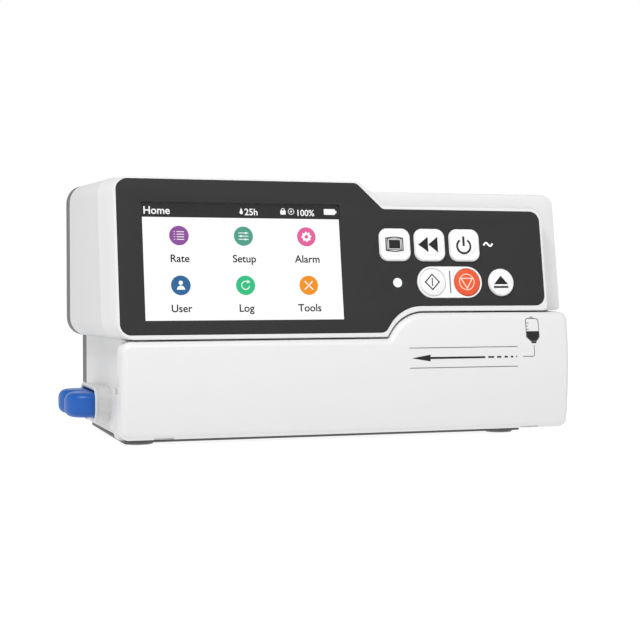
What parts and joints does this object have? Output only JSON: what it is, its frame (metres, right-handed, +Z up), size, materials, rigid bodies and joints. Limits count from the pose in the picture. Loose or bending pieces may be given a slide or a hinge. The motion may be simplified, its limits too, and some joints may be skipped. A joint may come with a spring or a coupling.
{
  "type": "infusion pump",
  "caption": "Bench-top volumetric infusion pump: sloping panel with colour display and keys over a bottom-hinged door that covers a finger-type tubing mechanism.",
  "frame": {"origin": "middle of the object's footprint, on the surface that its feet stand on", "axes": "+X to the right of someone facing the panel, the panel faces -Y, +Z up"},
  "size_m": [0.243, 0.1332, 0.1266],
  "materials": {
    "white_case": "fine satin moulded ABS",
    "dark_panel": "printed panel overlay, semi gloss",
    "cover_grey": "textured moulded plastic",
    "key_white": "smooth silicone-coated key",
    "key_orange": "smooth orange key",
    "release_blue": "satin blue moulding",
    "rubber_black": "matt rubber",
    "steel": "machined steel",
    "alloy": "machined aluminium",
    "engineering_plastic": "natural acetal",
    "dark_plastic": "dark moulded plastic",
    "circuit_board": "green solder mask",
    "lcd": "lit colour display",
    "clear_window": "clear flat window",
    "light_pipe": "diffusing light guide",
    "brass": "turned brass",
    "battery_wrap": "shrink wrap",
    "motor_black": "black coated steel"
  },
  "bodies": {
    "case": {"front_shell": "white_case", "fascia_panel": "dark_panel", "display_window": "clear_window", "display_panel": "lcd", "key_surround": "key_white", "status_light": "light_pipe", "mains_light": "light_pipe", "keypad_board": "circuit_board", "main_board": "circuit_board", "rear_housing": "white_case", "rear_cover": "cover_grey", "base_plate": "dark_plastic", "foot_front_left": "rubber_black", "foot_front_right": "rubber_black", "foot_rear_left": "rubber_black", "foot_rear_right": "rubber_black", "mechanism_plate": "alloy", "camshaft_bearing_left": "steel", "camshaft_bearing_right": "steel", "drive_belt": "rubber_black", "stepper_motor": "motor_black", "downstream_sensor": "engineering_plastic", "upstream_sensor": "engineering_plastic", "bubble_sensor": "dark_plastic", "latch_actuator": "motor_black", "side_boss": "white_case", "battery_pack": "battery_wrap", "power_supply": "circuit_board", "mains_inlet": "dark_plastic", "data_port": "steel", "earth_terminal": "brass", "speaker": "motor_black"},
    "door": {"door_shell": "white_case", "door_inner_plate": "engineering_plastic", "hinge_rod": "steel", "door_hook_left": "steel", "door_hook_right": "steel", "platen_spring": "steel"},
    "platen": {"platen": "engineering_plastic"},
    "latch": {"latch_bar": "steel"},
    "camshaft": {"camshaft": "steel", "camshaft_pulley": "alloy"},
    "motor_rotor": {"motor_pulley": "alloy"},
    "release": {"release_grip": "release_blue", "release_rod": "steel", "release_spring": "steel"},
    "key_menu": {"key_menu": "key_white"},
    "key_rewind": {"key_rewind": "key_white"},
    "key_power": {"key_power": "key_white"},
    "key_start": {"key_start": "key_white"},
    "key_stop": {"key_stop": "key_orange"},
    "key_open": {"key_open": "key_white"},
    "finger_1": {"finger_1": "engineering_plastic"},
    "finger_2": {"finger_2": "engineering_plastic"},
    "finger_3": {"finger_3": "engineering_plastic"},
    "finger_4": {"finger_4": "engineering_plastic"},
    "finger_5": {"finger_5": "engineering_plastic"},
    "finger_6": {"finger_6": "engineering_plastic"},
    "finger_7": {"finger_7": "engineering_plastic"},
    "finger_8": {"finger_8": "engineering_plastic"}
  },
  "joints": [
    {"name": "door_hinge", "type": "hinge", "parent": "case", "child": "door", "pos_m": [0.0078, -0.0602, 0.008], "axis": [1, 0, 0], "range_deg": [0, 85]},
    {"name": "platen_press", "type": "slide", "parent": "door", "child": "platen", "axis": [0, -1, 0], "range_m": [0, 0.001], "stiffness_N_per_m": 1500, "springref_m": -0.0002, "deforming": ["platen_spring"]},
    {"name": "latch_slide", "type": "slide", "parent": "case", "child": "latch", "axis": [-1, 0, 0], "range_m": [0, 0.0019]},
    {"name": "camshaft_spin", "type": "hinge", "parent": "case", "child": "camshaft", "pos_m": [0.007, -0.0274, 0.0301], "axis": [1, 0, 0], "continuous": true},
    {"name": "motor_spin", "type": "hinge", "parent": "case", "child": "motor_rotor", "pos_m": [0.044, 0.0146, 0.0301], "axis": [1, 0, 0], "continuous": true},
    {"name": "release_push", "type": "slide", "parent": "case", "child": "release", "axis": [1, 0, 0], "range_m": [0, 0.0045], "stiffness_N_per_m": 900, "springref_m": -0.001, "deforming": ["release_spring"]},
    {"name": "press_menu", "type": "slide", "parent": "case", "child": "key_menu", "axis": [0, 0.9859, -0.1675], "range_m": [0, 0.0009], "stiffness_N_per_m": 600, "springref_m": -0.0004},
    {"name": "press_rewind", "type": "slide", "parent": "case", "child": "key_rewind", "axis": [0, 0.9859, -0.1675], "range_m": [0, 0.0009], "stiffness_N_per_m": 600, "springref_m": -0.0004},
    {"name": "press_power", "type": "slide", "parent": "case", "child": "key_power", "axis": [0, 0.9859, -0.1675], "range_m": [0, 0.0009], "stiffness_N_per_m": 600, "springref_m": -0.0004},
    {"name": "press_start", "type": "slide", "parent": "case", "child": "key_start", "axis": [0, 0.9859, -0.1675], "range_m": [0, 0.0009], "stiffness_N_per_m": 600, "springref_m": -0.0004},
    {"name": "press_stop", "type": "slide", "parent": "case", "child": "key_stop", "axis": [0, 0.9859, -0.1675], "range_m": [0, 0.0009], "stiffness_N_per_m": 600, "springref_m": -0.0004},
    {"name": "press_open", "type": "slide", "parent": "case", "child": "key_open", "axis": [0, 0.9859, -0.1675], "range_m": [0, 0.0009], "stiffness_N_per_m": 600, "springref_m": -0.0004},
    {"name": "finger_1_stroke", "type": "slide", "parent": "case", "child": "finger_1", "axis": [0, -1, 0], "range_m": [-0.002, 0]},
    {"name": "finger_2_stroke", "type": "slide", "parent": "case", "child": "finger_2", "axis": [0, -1, 0], "range_m": [-0.00171, 0.00029]},
    {"name": "finger_3_stroke", "type": "slide", "parent": "case", "child": "finger_3", "axis": [0, -1, 0], "range_m": [-0.001, 0.001]},
    {"name": "finger_4_stroke", "type": "slide", "parent": "case", "child": "finger_4", "axis": [0, -1, 0], "range_m": [-0.00029, 0.00171]},
    {"name": "finger_5_stroke", "type": "slide", "parent": "case", "child": "finger_5", "axis": [0, -1, 0], "range_m": [0, 0.002]},
    {"name": "finger_6_stroke", "type": "slide", "parent": "case", "child": "finger_6", "axis": [0, -1, 0], "range_m": [-0.00029, 0.00171]},
    {"name": "finger_7_stroke", "type": "slide", "parent": "case", "child": "finger_7", "axis": [0, -1, 0], "range_m": [-0.001, 0.001]},
    {"name": "finger_8_stroke", "type": "slide", "parent": "case", "child": "finger_8", "axis": [0, -1, 0], "range_m": [-0.00171, 0.00029]}
  ],
  "couplings": [
    {"joint": "motor_spin", "follows": "camshaft_spin", "ratio": 2}
  ]
}
